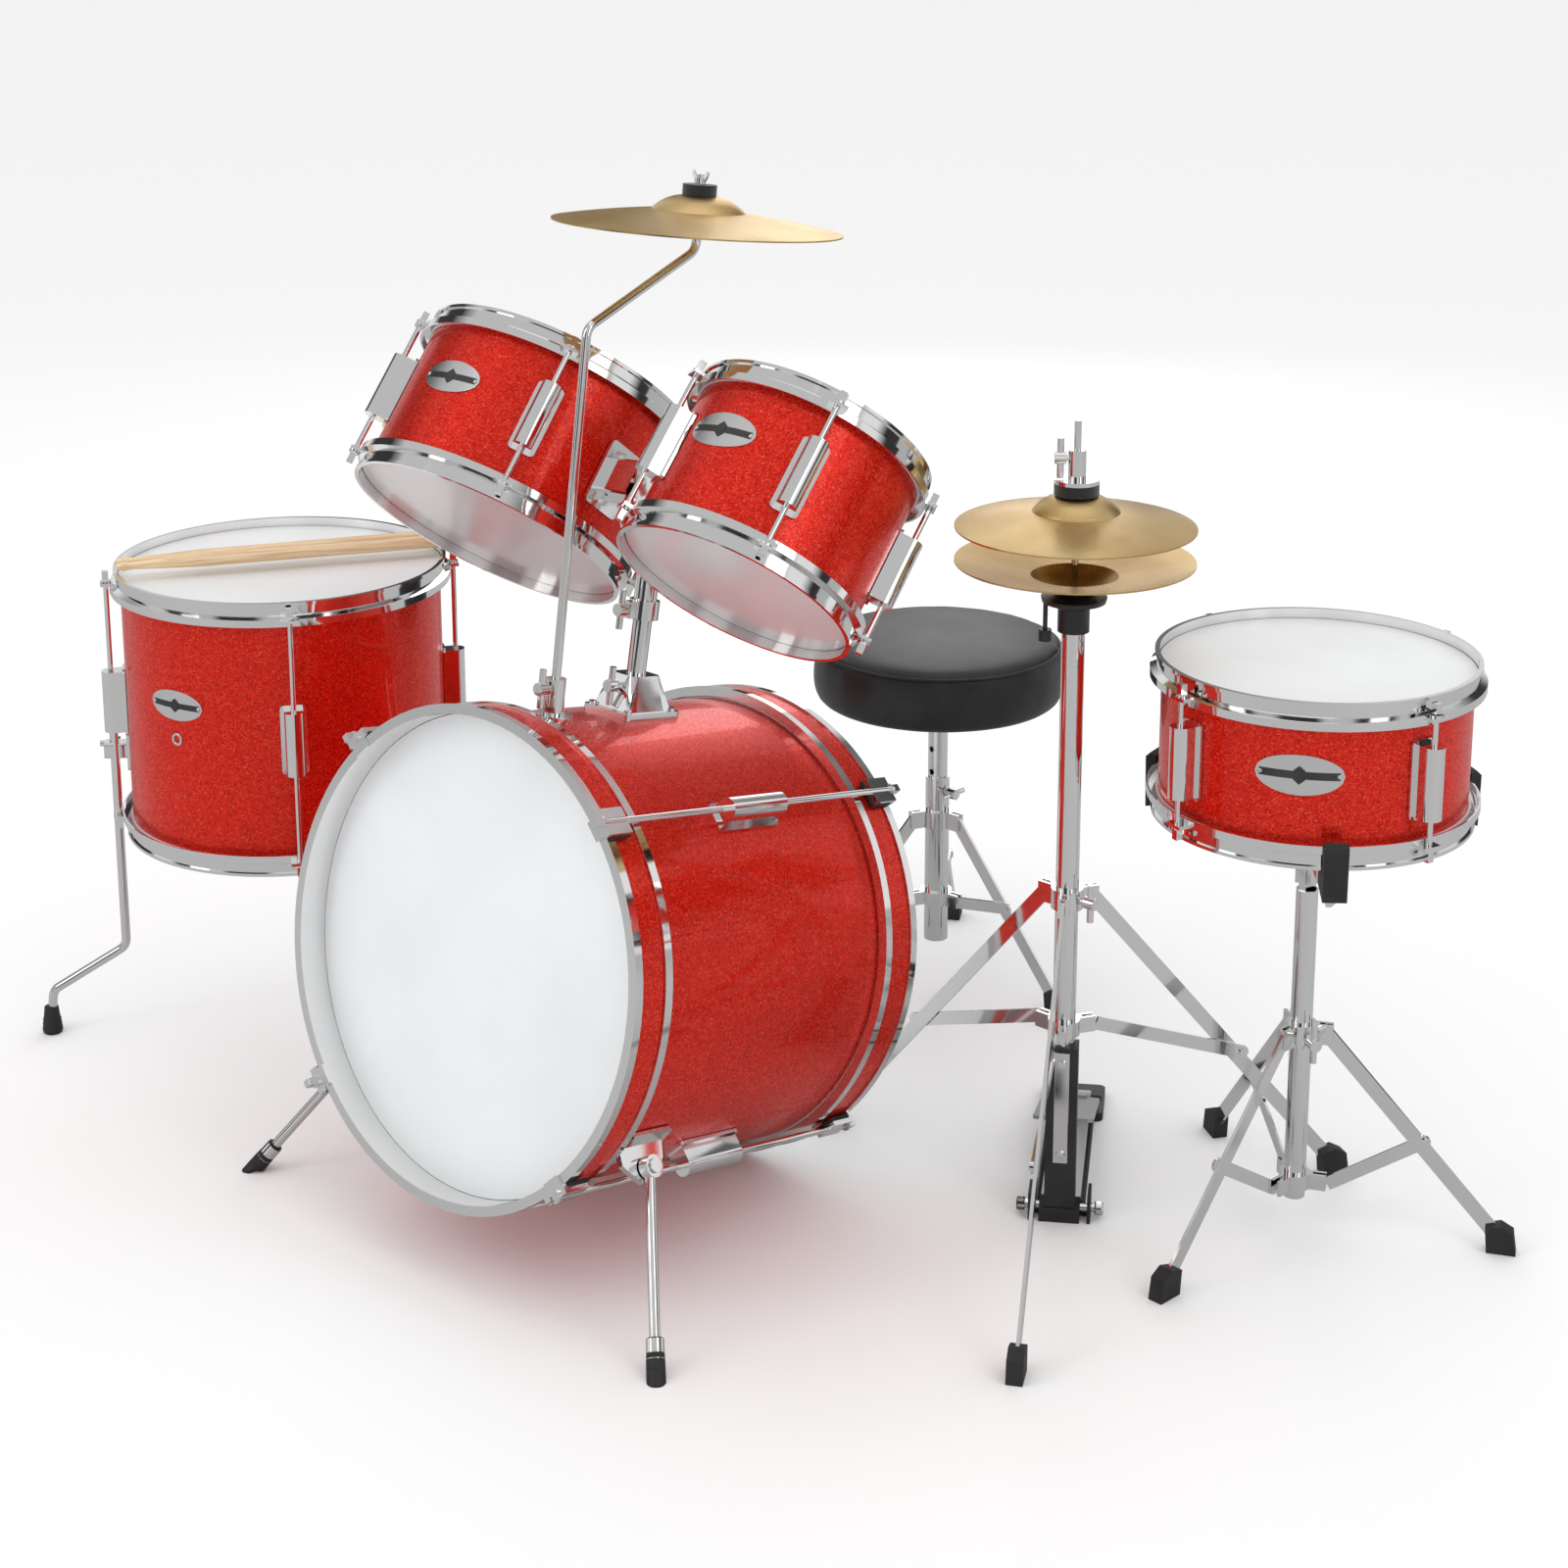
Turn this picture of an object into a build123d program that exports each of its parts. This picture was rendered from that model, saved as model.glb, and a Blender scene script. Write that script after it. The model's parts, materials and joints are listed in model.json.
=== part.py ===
"""Junior acoustic drum kit: bass drum, two mounted toms, floor tom, snare, hi-hat, crash and throne.

Millimetres, +Z up. +Y runs from the front of the bass drum towards the drummer, +X is the
audience's right. The origin is on the floor, under the middle of the kit's bounding box.
"""
from build123d import *
import os
from math import cos, radians, sin

os.makedirs("parts", exist_ok=True)

# ---------------------------------------------------------------- driving dimensions
# Bass drum: 16 inch shell, tilted up at the front by its spurs.
bass_rim = Vector(-5, -419.9, 276.3)
bass_tilt = 10.8
bass_length = 352
bass_shell_r = 203
bass_hoop_r = 214
bass_hoop_width = 42
bass_recess = 27
bass_rod_r = 219.5
bass_lug_angles = (45, 135, 225, 315)

# Drums with flanged hoops: shell radius, rim to rim depth and where the bottom rim's centre is.
left_tom_r, left_tom_depth, left_tom_rim = 126.5, 165, Vector(-191, -210.9, 570)
right_tom_r, right_tom_depth, right_tom_rim = 101.6, 163, Vector(141, -232.9, 583)
floor_tom_r, floor_tom_depth, floor_tom_rim = 155, 270, Vector(-483, -222.9, 226)
snare_r, snare_depth, snare_rim = 130, 141, Vector(492, 111.1, 386)
left_tom_axis = Vector(-0.05, 0.835, 1)
right_tom_axis = Vector(-0.06, 0.94, 1)
shell_wall = 6
hoop_height = 22
hoop_lip = 6
hoop_flare = 10
head_depth = 9
rod_standoff = 13.5
rod_r = 2.5
lug_length = 62

# Tom holder, on the ridge of the bass shell.
holder_along = 175
holder_base_height = 34
lower_tube_r, upper_tube_r, tube_fit = 8.5, 10.2, 0.05
clamp_height = 82
tom_rod_height = 200.7
tom_rod_r = 5
holder_block = 32

# Cymbal arm and crash.
arm_along = 80
arm_r = 4
arm_bend_low = Vector(-5, -254.9, 792)
crash_centre = Vector(-5, -121.9, 862)
crash_axis = Vector(0, 0.105, 1).normalized()
arm_bend_high = crash_centre - crash_axis * 20
crash_r = 127
stud_r = 3

# Spurs.
spur_along, spur_angle, spur_pivot_r = 76, 37, 226
spur_foot_x, spur_foot_y = 262, -446.9
spur_r = 4.5

# Stands: where each tube stands on the floor.
hihat_x, hihat_y = 331, -15.9
throne_x, throne_y = -86, 313.1
pedal_angle = 124
hihat_edge_z, hihat_gap, hihat_r = 604, 28, 101.6
pedal_reach = 180
seat_r, seat_z = 131, 310


# ---------------------------------------------------------------- shared shapes
def save(name, *pieces):
    """Label a node, which is one piece or several separate solids, and write its STEP file."""
    node = pieces[0].part if len(pieces) == 1 else Compound(children=[piece.part for piece in pieces])
    node.label = name
    export_step(node, f"parts/{name}.step")


def ring(plane, outer, inner, height, mode=Mode.ADD):
    """Extrude a ring, or a disc when inner is 0, from a plane."""
    with BuildSketch(plane) as profile:
        Circle(outer)
        if inner:
            Circle(inner, mode=Mode.SUBTRACT)
    extrude(profile.sketch, amount=height, mode=mode)


def block(plane, width, depth, height, radius=0.0, mode=Mode.ADD):
    """Extrude a rectangle with rounded corners from a plane."""
    with BuildSketch(plane) as profile:
        if radius:
            RectangleRounded(width, depth, radius)
        else:
            Rectangle(width, depth)
    extrude(profile.sketch, amount=height, mode=mode)


def lathe(plane, points):
    """Revolve a closed outline of (radius, height) points about a plane's normal."""
    with BuildSketch(Plane(origin=plane.origin, x_dir=plane.x_dir, z_dir=-plane.y_dir)) as profile:
        with BuildLine():
            Polyline(*points, close=True)
        make_face()
    revolve(profile.sketch, axis=Axis(plane.origin, plane.z_dir))


def bar(start, end, radius):
    """A round bar from one point to another."""
    plane = Plane(origin=start, z_dir=end - start)
    ring(plane, radius, 0, (end - start).length)


def upright(x, y, z):
    """A level plane at a point."""
    return Plane(origin=(x, y, z))


def around(base, angle, radius, height):
    """A plane on a drum's side: x across the shell, y along the drum's axis, z outwards."""
    turn = radians(angle)
    outwards = base.x_dir * cos(turn) + base.y_dir * sin(turn)
    origin = base.origin + outwards * radius + base.z_dir * height
    return Plane(origin=origin, x_dir=base.z_dir.cross(outwards), z_dir=outwards)


def crosswise(side, along, outwards):
    """A plane across a side plane's y axis, at a distance along it and out from it."""
    origin = side.origin + side.y_dir * along + side.z_dir * outwards
    return Plane(origin=origin, x_dir=-side.x_dir, z_dir=side.y_dir)


def upended(base, length):
    """The plane at the far end of a drum, looking back along it."""
    return Plane(origin=base.origin + base.z_dir * length, x_dir=-base.x_dir, z_dir=-base.z_dir)


def tee_bolt(plane, shaft):
    """A clamping bolt with a hub and a crossing bar, standing on a plane."""
    ring(plane, 3, 0, shaft)
    ring(plane.offset(shaft), 5.5, 0, 10)
    centre = plane.origin + plane.z_dir * (shaft + 5)
    bar(centre - plane.y_dir * 17, centre + plane.y_dir * 17, 3)


def cymbal(plane, radius, hole, bell_r, bow, bell, thickness=1.4):
    """A bowed disc with a bell, its edge in the plane and its bell up along the normal."""
    cup = bow + bell
    with BuildSketch(Plane(origin=plane.origin, x_dir=plane.x_dir, z_dir=-plane.y_dir)) as profile:
        with BuildLine():
            ThreePointArc((radius, 0), ((radius + bell_r) / 2, bow * 0.58), (bell_r, bow))
            ThreePointArc((bell_r, bow), (bell_r * 0.7, bow + bell * 0.72), (hole, cup))
            Line((hole, cup), (hole, cup + thickness))
            ThreePointArc((hole, cup + thickness), (bell_r * 0.7, cup - bell * 0.28 + thickness),
                          (bell_r, bow + thickness))
            ThreePointArc((bell_r, bow + thickness), ((radius + bell_r) / 2, bow * 0.58 + thickness),
                          (radius, thickness))
            Line((radius, thickness), (radius, 0))
        make_face()
    revolve(profile.sketch, axis=Axis(plane.origin, plane.z_dir))


# ---------------------------------------------------------------- drums with flanged hoops
def flanged_hoop(end, shell_r, rod_angles):
    """A pressed hoop at a drum's end, with an ear round each tension rod."""
    lathe(end, [(shell_r + 2, 0), (shell_r + hoop_lip, 0), (shell_r + hoop_lip, 3),
                (shell_r + 4.2, 3), (shell_r + 4.2, 12), (shell_r + hoop_flare, 15),
                (shell_r + hoop_flare, hoop_height), (shell_r + hoop_flare - 1.6, hoop_height),
                (shell_r + hoop_flare - 1.6, 16), (shell_r + 2.6, 13.4), (shell_r + 2.6, 3),
                (shell_r + 2, 3)])
    for angle in rod_angles:
        side = around(end, angle, shell_r, 14)
        block(crosswise(side, 0, rod_standoff - 0.5), 17, 11, 3)
        ring(crosswise(side, -1, rod_standoff), rod_r + 0.25, 0, 6, mode=Mode.SUBTRACT)


def drum_lug(side):
    """A double-ended lug: a base plate on the shell and a half-round casing for the two rods."""
    block(side, 25, lug_length + 6, 2.5, radius=4)
    across = crosswise(side, -lug_length / 2, 0)
    with BuildSketch(across) as casing:
        with Locations((0, rod_standoff)):
            Circle(9)
        with Locations((0, rod_standoff / 2)):
            Rectangle(18, rod_standoff)
    extrude(casing.sketch, amount=lug_length)


def tension_rod(end, shell_r, angle, reach):
    """A rod with a square key head and a washer, from the hoop's ear down to the lug."""
    side = around(end, angle, shell_r, 14)
    ring(crosswise(side, 0, rod_standoff), rod_r, 0, reach - 14)
    ring(crosswise(side, -1.6, rod_standoff), 5, 0, 1.6)
    block(crosswise(side, -11, rod_standoff), 6, 6, 9.4)


def build_drum(name, bottom, shell_r, depth, lug_angles):
    """Shell, heads, hoops and lugs with rods, each in a node of its own."""
    top = upended(bottom, depth)
    ends = ((bottom, lug_angles), (top, [180 - angle for angle in lug_angles]))
    with BuildPart() as shell:
        ring(bottom.offset(head_depth + 1), shell_r, shell_r - shell_wall, depth - 2 * head_depth - 2)
    with BuildPart() as heads:
        for end, _ in ends:
            lathe(end, [(0, head_depth), (shell_r + 2, head_depth), (shell_r + 2, head_depth + 9),
                        (shell_r + 0.2, head_depth + 9), (shell_r + 0.2, head_depth + 1),
                        (0, head_depth + 1)])
    with BuildPart() as hoops:
        for end, angles in ends:
            flanged_hoop(end, shell_r, angles)
    with BuildPart() as lugs:
        for angle in lug_angles:
            drum_lug(around(bottom, angle, shell_r, depth / 2))
    with BuildPart() as rods:
        for end, angles in ends:
            for angle in angles:
                tension_rod(end, shell_r, angle, (depth - lug_length) / 2)
    save(f"{name}_shell", shell)
    save(f"{name}_heads", heads)
    save(f"{name}_hoops", hoops)
    save(f"{name}_lugs", lugs, rods)


def tom_plane(origin, axis):
    """A tom's bottom rim, with its x axis as near to the kit's X as the drum's tilt allows."""
    level = Vector(1, 0, 0) - axis.normalized() * axis.normalized().X
    return Plane(origin=origin, x_dir=level, z_dir=axis)


left_tom_base = tom_plane(left_tom_rim, left_tom_axis)
right_tom_base = tom_plane(right_tom_rim, right_tom_axis)
floor_tom_base = Plane(origin=floor_tom_rim)
snare_base = Plane(origin=snare_rim)
build_drum("tom_left", left_tom_base, left_tom_r, left_tom_depth, (-130, -45, 40, 130))
build_drum("tom_right", right_tom_base, right_tom_r, right_tom_depth, (-121, -44, 41, 135))
build_drum("floor_tom", floor_tom_base, floor_tom_r, floor_tom_depth, (-125, -35, 55, 145))
build_drum("snare", snare_base, snare_r, snare_depth, (-107, -17, 73, 163))

# ---------------------------------------------------------------- bass drum
bass_axis = Vector(0, cos(radians(bass_tilt)), -sin(radians(bass_tilt)))
bass_up = Vector(0, sin(radians(bass_tilt)), cos(radians(bass_tilt)))
bass_front = Plane(origin=bass_rim, x_dir=(-1, 0, 0), z_dir=bass_axis)
bass_back = Plane(origin=bass_rim + bass_axis * bass_length, x_dir=(1, 0, 0), z_dir=-bass_axis)

with BuildPart() as bass_shell:
    ring(bass_front.offset(bass_recess + 1), bass_shell_r, bass_shell_r - shell_wall,
         bass_length - 2 * bass_recess - 2)
save("bass_shell", bass_shell)

with BuildPart() as bass_heads:
    for end in (bass_front, bass_back):
        lathe(end, [(0, bass_recess), (bass_shell_r + 2, bass_recess),
                    (bass_shell_r + 2, bass_recess + 12), (bass_shell_r + 0.2, bass_recess + 12),
                    (bass_shell_r + 0.2, bass_recess + 1), (0, bass_recess + 1)])
save("bass_heads", bass_heads)

hoop_inner = bass_shell_r + 2.3
bead = 8
band_r = bass_hoop_r - 3.5
with BuildPart() as bass_hoops:
    for end in (bass_front, bass_back):
        lathe(end, [(hoop_inner, 0), (bass_hoop_r, 0), (bass_hoop_r, bead), (band_r, bead),
                    (band_r, bass_hoop_width - bead), (bass_hoop_r, bass_hoop_width - bead),
                    (bass_hoop_r, bass_hoop_width), (hoop_inner, bass_hoop_width)])
save("bass_hoops", bass_hoops)

with BuildPart() as bass_hoop_inlays:
    for end in (bass_front, bass_back):
        lathe(end, [(band_r, bead + 0.4), (band_r + 1.4, bead + 0.4),
                    (band_r + 1.4, bass_hoop_width - bead - 0.4),
                    (band_r, bass_hoop_width - bead - 0.4)])
save("bass_hoop_inlays", bass_hoop_inlays)

bass_lug_length = 66
bass_standoff = bass_rod_r - bass_shell_r
with BuildPart() as bass_lugs:
    for angle in bass_lug_angles:
        side = around(bass_front, angle, bass_shell_r, bass_length / 2)
        block(side, 27, bass_lug_length + 8, 3, radius=5)
        with BuildSketch(crosswise(side, -bass_lug_length / 2, 0)) as casing:
            with Locations((0, bass_standoff)):
                Circle(9.5)
            with Locations((0, bass_standoff / 2)):
                Rectangle(19, bass_standoff)
        extrude(casing.sketch, amount=bass_lug_length)
save("bass_lugs", bass_lugs)

claw_width = 24
with BuildPart() as bass_claws:
    for end in (bass_front, bass_back):
        for angle in bass_lug_angles:
            side = around(end, angle, bass_hoop_r, 0)
            block(crosswise(side, -3.2, 4), claw_width, 7.6, 26)
            block(crosswise(side, -3.2, -4.6), claw_width - 6, 9.7, 3)
            ring(crosswise(side, -4, bass_rod_r - bass_hoop_r), 3.3, 0, 30, mode=Mode.SUBTRACT)

with BuildPart() as bass_rods:
    for end in (bass_front, bass_back):
        for angle in bass_lug_angles:
            side = around(end, angle, bass_rod_r, 0)
            ring(crosswise(side, -3.2, 0), 3, 0, (bass_length - bass_lug_length) / 2 + 3.2)
            ring(crosswise(side, -5.2, 0), 5.5, 0, 2)
            block(crosswise(side, -14, 0), 6.5, 6.5, 8.8)
save("bass_tension_rods", bass_claws, bass_rods)


# ---------------------------------------------------------------- spurs
def spur_frame(hand):
    """The plane a spur swings in, at its pivot: x along the bass drum, y out along the leg."""
    turn = radians(spur_angle)
    outwards = Vector(hand, 0, 0) * cos(turn) - bass_up * sin(turn)
    pivot = bass_rim + bass_axis * spur_along + outwards * spur_pivot_r
    leg = Vector(bass_rim.X + hand * spur_foot_x, spur_foot_y, 0) - pivot
    swing = bass_axis.cross(leg).normalized()
    return pivot, leg, Plane(origin=pivot, x_dir=bass_axis, z_dir=swing)


with BuildPart() as spur_brackets:
    for hand in (-1, 1):
        pivot, leg, swing = spur_frame(hand)
        side = around(bass_front, 180 + spur_angle if hand > 0 else -spur_angle, bass_shell_r, spur_along)
        block(side, 40, 56, 3, radius=6)
        with BuildSketch(swing.offset(5)) as cheek:
            with BuildLine():
                Polyline((-25, -24), (26, -24), (22, -6), (5, 13), (-7, 12), (-25, -6), close=True)
            make_face()
        extrude(cheek.sketch, amount=6)
        ring(swing.offset(-6.2), 3, 0, 12)
        ring(swing.offset(-8.4), 6, 0, 2.2)
    ring(bass_front, bass_shell_r, 0, bass_length, mode=Mode.SUBTRACT)
save("spur_brackets", spur_brackets)

for hand, word in ((-1, "left"), (1, "right")):
    pivot, leg, swing = spur_frame(hand)
    toe = pivot + leg
    towards = leg.normalized()
    with BuildPart() as spur_leg:
        ring(swing.offset(-5.7), 9.5, 0, 9.4)
        bar(pivot + towards * 6, toe - towards * 10, spur_r)
        ring(swing.offset(-7), 3.05, 0, 12, mode=Mode.SUBTRACT)
    with BuildPart() as spur_tip:
        bar(toe - towards * 32, toe + towards * 8, 7.5)
        split(bisect_by=Plane.XY, keep=Keep.TOP)
        add(spur_leg.part, mode=Mode.SUBTRACT)
    save(f"spur_leg_{word}", spur_leg, spur_tip)

# ---------------------------------------------------------------- tom holder
ridge = bass_rim + bass_axis * holder_along + bass_up * bass_shell_r
holder = Plane(origin=ridge, x_dir=(1, 0, 0), z_dir=bass_up)
with BuildPart() as tom_mount_base:
    block(holder.offset(-4), 56, 66, 8, radius=4)
    with BuildSketch(holder.offset(2)) as foot:
        Rectangle(46, 52)
    with BuildSketch(holder.offset(holder_base_height)) as shoulder:
        RectangleRounded(30, 34, 6)
    loft([foot.sketch.faces()[0], shoulder.sketch.faces()[0]])
    tee_bolt(Plane(origin=ridge + bass_up * 24 - bass_axis * 14, x_dir=(1, 0, 0), z_dir=-bass_axis), 10)
    for x in (-22, 22):
        for y in (-27, 27):
            ring(Plane(origin=holder.offset(4).from_local_coords(Vector(x, y, 0)), z_dir=bass_up), 3.4, 0, 2.5)
    ring(bass_front.offset(100), bass_shell_r, 0, 150, mode=Mode.SUBTRACT)
    ring(holder.offset(-10), lower_tube_r, 0, 60, mode=Mode.SUBTRACT)
save("tom_mount_base", tom_mount_base)

with BuildPart() as tom_mount_tube:
    ring(holder.offset(1), lower_tube_r, lower_tube_r - 1.5, 150)
save("tom_mount_tube", tom_mount_tube)

block_base = holder.offset(tom_rod_height - 17)
with BuildPart() as tom_post:
    ring(holder.offset(clamp_height), upper_tube_r, lower_tube_r + tube_fit, tom_rod_height - 17 - clamp_height)
    block(block_base, holder_block, 36, 34, radius=5)
    rod_line = Plane(origin=ridge + bass_up * tom_rod_height - Vector(40, 0, 0), z_dir=(1, 0, 0))
    ring(rod_line, tom_rod_r + tube_fit, 0, 80, mode=Mode.SUBTRACT)
    tee_bolt(Plane(origin=ridge + bass_up * tom_rod_height + bass_axis * 18, x_dir=(1, 0, 0),
                   z_dir=bass_axis), 4)
with BuildPart() as tom_post_clamp:
    ring(holder.offset(clamp_height + 1), upper_tube_r + 3.2, upper_tube_r, 17)
    block(Plane(origin=ridge + bass_up * (clamp_height + 9.5) - bass_axis * (upper_tube_r + 2),
                x_dir=(1, 0, 0), z_dir=-bass_axis), 9, 15, 9)
    tee_bolt(Plane(origin=ridge + bass_up * (clamp_height + 9.5) - bass_axis * (upper_tube_r + 10),
                   x_dir=(1, 0, 0), z_dir=-bass_axis), 3)
save("tom_post", tom_post, tom_post_clamp)

rod_centre = ridge + bass_up * tom_rod_height
for name, base, shell_r, hand in (("tom_left", left_tom_base, left_tom_r, -1),
                                  ("tom_right", right_tom_base, right_tom_r, 1)):
    local = base.to_local_coords(rod_centre)
    distance = (local.X ** 2 + local.Y ** 2) ** 0.5
    out = Vector(local.X, local.Y, 0) / distance
    radial = base.x_dir * out.X + base.y_dir * out.Y
    tangent = base.z_dir.cross(radial)
    side = Plane(origin=base.origin + base.z_dir * local.Z + radial * shell_r, x_dir=tangent, z_dir=radial)
    reach = distance - shell_r - holder_block / 2 - 6
    with BuildPart() as bracket:
        block(side, 40, 62, 4, radius=4)
        block(side, 26, 34, reach, radius=3)
        for y in (-22, 22):
            ring(Plane(origin=side.from_local_coords(Vector(0, y, 4)), z_dir=radial), 4, 0, 2.5)
        bar(rod_centre + Vector(hand * 60, 0, 0), rod_centre + Vector(hand * 3, 0, 0), tom_rod_r)
        ring(base, shell_r, 0, 200, mode=Mode.SUBTRACT)
    save(f"{name}_arm", bracket)

# ---------------------------------------------------------------- cymbal arm and crash
arm_foot = bass_rim + bass_axis * arm_along + bass_up * bass_shell_r
arm_line = (arm_bend_low - arm_foot).normalized()
socket = Plane(origin=arm_foot, x_dir=(1, 0, 0), z_dir=arm_line)
with BuildPart() as cymbal_socket:
    ring(socket.offset(-8), 17, 0, 11)
    ring(socket.offset(-8), 9, 0, 42)
    tee_bolt(Plane(origin=arm_foot + arm_line * 26 - socket.y_dir * 8, x_dir=(1, 0, 0),
                   z_dir=-socket.y_dir), 3)
    ring(bass_front.offset(20), bass_shell_r, 0, 150, mode=Mode.SUBTRACT)
    ring(socket.offset(-20), arm_r + tube_fit, 0, 80, mode=Mode.SUBTRACT)
save("cymbal_socket", cymbal_socket)

crash = Plane(origin=crash_centre, x_dir=(1, 0, 0), z_dir=crash_axis)
bow, bell, bell_r, hole = 13, 13, 41, 6
stud_foot = crash.offset(bow + bell - 9.4)
with BuildPart() as cymbal_arm:
    with BuildLine() as route:
        FilletPolyline(arm_foot + arm_line * 3, arm_bend_low, arm_bend_high, stud_foot.origin, radius=14)
    with BuildSketch(Plane(origin=route.line @ 0, z_dir=route.line % 0)):
        Circle(arm_r)
    sweep()
    ring(stud_foot, stud_r, 0, 29)
    ring(stud_foot.offset(-2), 8, 0, 2)
nut = crash.offset(bow + bell + 12)
with BuildPart() as wing_nut:
    ring(nut, 5, stud_r, 5)
    for hand in (-1, 1):
        with BuildSketch(Plane(origin=nut.origin, x_dir=nut.x_dir, z_dir=-nut.y_dir)) as wing:
            with BuildLine():
                Polyline((hand * 3.5, 1), (hand * 6, 2), (hand * 10, 9), (hand * 8, 11), (hand * 3.5, 5), close=True)
            make_face()
        extrude(wing.sketch, amount=1, both=True)
save("cymbal_arm", cymbal_arm, wing_nut)

felt_inner = 4.6
with BuildPart() as crash_felts:
    ring(crash.offset(bow + bell - 8), 11, felt_inner, 7.6)
    ring(crash.offset(bow + bell + 1.8), 15, felt_inner, 9.5)
    ring(crash.offset(bow + bell - 0.5), hole - 0.08, felt_inner, 2.4)
save("crash_felts", crash_felts)

with BuildPart() as crash_cymbal:
    cymbal(crash, crash_r, hole, bell_r, bow, bell)
save("crash_cymbal", crash_cymbal)

# ---------------------------------------------------------------- floor tom legs
leg_r, leg_axis_r, leg_foot_r = 4.5, 172, 251
leg_angles = (-134, -14, 106)
bracket_z = 302
floor_tom_axis = Vector(floor_tom_rim.X, floor_tom_rim.Y, 0)


def radial_plane(centre, angle):
    """A vertical plane through an axis: x outwards from it, y up."""
    turn = radians(angle)
    return Plane(origin=centre, x_dir=(cos(turn), sin(turn), 0), z_dir=(sin(turn), -cos(turn), 0))


with BuildPart() as floor_tom_leg_brackets:
    for angle in leg_angles:
        side = around(floor_tom_base, angle, floor_tom_r, bracket_z - floor_tom_rim.Z)
        block(side, 24, 40, 3, radius=4)
        block(side, 18, 16, 26, radius=3)
        grip = radial_plane(floor_tom_axis, angle)
        tee_bolt(Plane(origin=side.from_local_coords(Vector(-9, 0, 17)), x_dir=side.y_dir, z_dir=-side.x_dir), 3)
        ring(Plane(origin=grip.from_local_coords(Vector(leg_axis_r, bracket_z - 40, 0))),
             leg_r + tube_fit, 0, 80, mode=Mode.SUBTRACT)
save("floor_tom_leg_brackets", floor_tom_leg_brackets)

for number, angle in enumerate(leg_angles, start=1):
    grip = radial_plane(floor_tom_axis, angle)
    knees = [(leg_axis_r, bracket_z + 22), (leg_axis_r, 92), (leg_foot_r - 3, 45), (leg_foot_r, 8)]
    with BuildPart() as leg:
        with BuildLine() as route:
            FilletPolyline(*[grip.from_local_coords(Vector(x, z, 0)) for x, z in knees], radius=14)
        with BuildSketch(Plane(origin=route.line @ 0, z_dir=route.line % 0)):
            Circle(leg_r)
        sweep()
    with BuildPart() as foot:
        lathe(Plane(origin=grip.from_local_coords(Vector(leg_foot_r, 0, 0))),
              [(0, 0), (8.5, 0), (9.5, 3), (6.5, 27), (0, 27)])
        add(leg.part, mode=Mode.SUBTRACT)
    save(f"floor_tom_leg_{number}", leg, foot)

# ---------------------------------------------------------------- snare fittings
strainer_angle = 118
strainer_side = around(snare_base, strainer_angle, snare_r, snare_depth / 2)
with BuildPart() as snare_strainer:
    block(strainer_side, 30, 56, 3, radius=4)
    block(strainer_side, 22, 30, 12, radius=3)
    ring(crosswise(strainer_side, 15, 8), 3, 0, 12)
    hinge_pin = Plane(origin=strainer_side.from_local_coords(Vector(-13, 8, 18)), z_dir=strainer_side.x_dir)
    ring(hinge_pin, 2.5, 0, 26)
    for x in (-13, 10):
        block(Plane(origin=strainer_side.from_local_coords(Vector(x + 1.5, 8, 12)),
                    x_dir=strainer_side.x_dir, z_dir=strainer_side.z_dir), 3, 10, 10)
save("snare_strainer", snare_strainer)

with BuildPart() as strainer_lever:
    ring(Plane(origin=strainer_side.from_local_coords(Vector(-9.5, 8, 18)), z_dir=strainer_side.x_dir),
         5, 2.55, 19)
    block(Plane(origin=strainer_side.from_local_coords(Vector(0, -13, 17.5)), x_dir=strainer_side.x_dir,
                z_dir=strainer_side.z_dir), 14, 36, 3)
save("strainer_lever", strainer_lever)

wire_run = Plane(origin=snare_base.origin + Vector(0, 0, head_depth - 1.4),
                 x_dir=strainer_side.z_dir, z_dir=(0, 0, 1))
with BuildPart() as snare_wires:
    for x in (-92, 92):
        block(Plane(origin=wire_run.from_local_coords(Vector(x, 0, 0)), x_dir=wire_run.x_dir), 16, 44, 1.2)
    for y in range(-20, 21, 4):
        block(Plane(origin=wire_run.from_local_coords(Vector(0, y, 0)), x_dir=wire_run.x_dir), 180, 1.4, 1.2)
save("snare_wires", snare_wires)

# ---------------------------------------------------------------- snare basket and its post
snare_x, snare_y = snare_rim.X, snare_rim.Y
post_r, post_top, post_bottom = 9.5, 338, 28
basket_pivot_z = 330
basket_angles = (-50, 55, 190)
arm_z = 352
claw_r = snare_r + hoop_flare + 1
snare_foot = Vector(snare_x, snare_y, 0)
snare_rest = snare_rim.Z
with BuildPart() as snare_post:
    ring(upright(snare_x, snare_y, post_bottom), post_r, post_r - 1.5, basket_pivot_z - 14 - post_bottom)
    block(upright(snare_x, snare_y, basket_pivot_z - 14), 7, 17, 24)
    ring(Plane(origin=(snare_x - 10, snare_y, basket_pivot_z), z_dir=(1, 0, 0)), 3.05, 0, 20, mode=Mode.SUBTRACT)
save("snare_post", snare_post)

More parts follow.
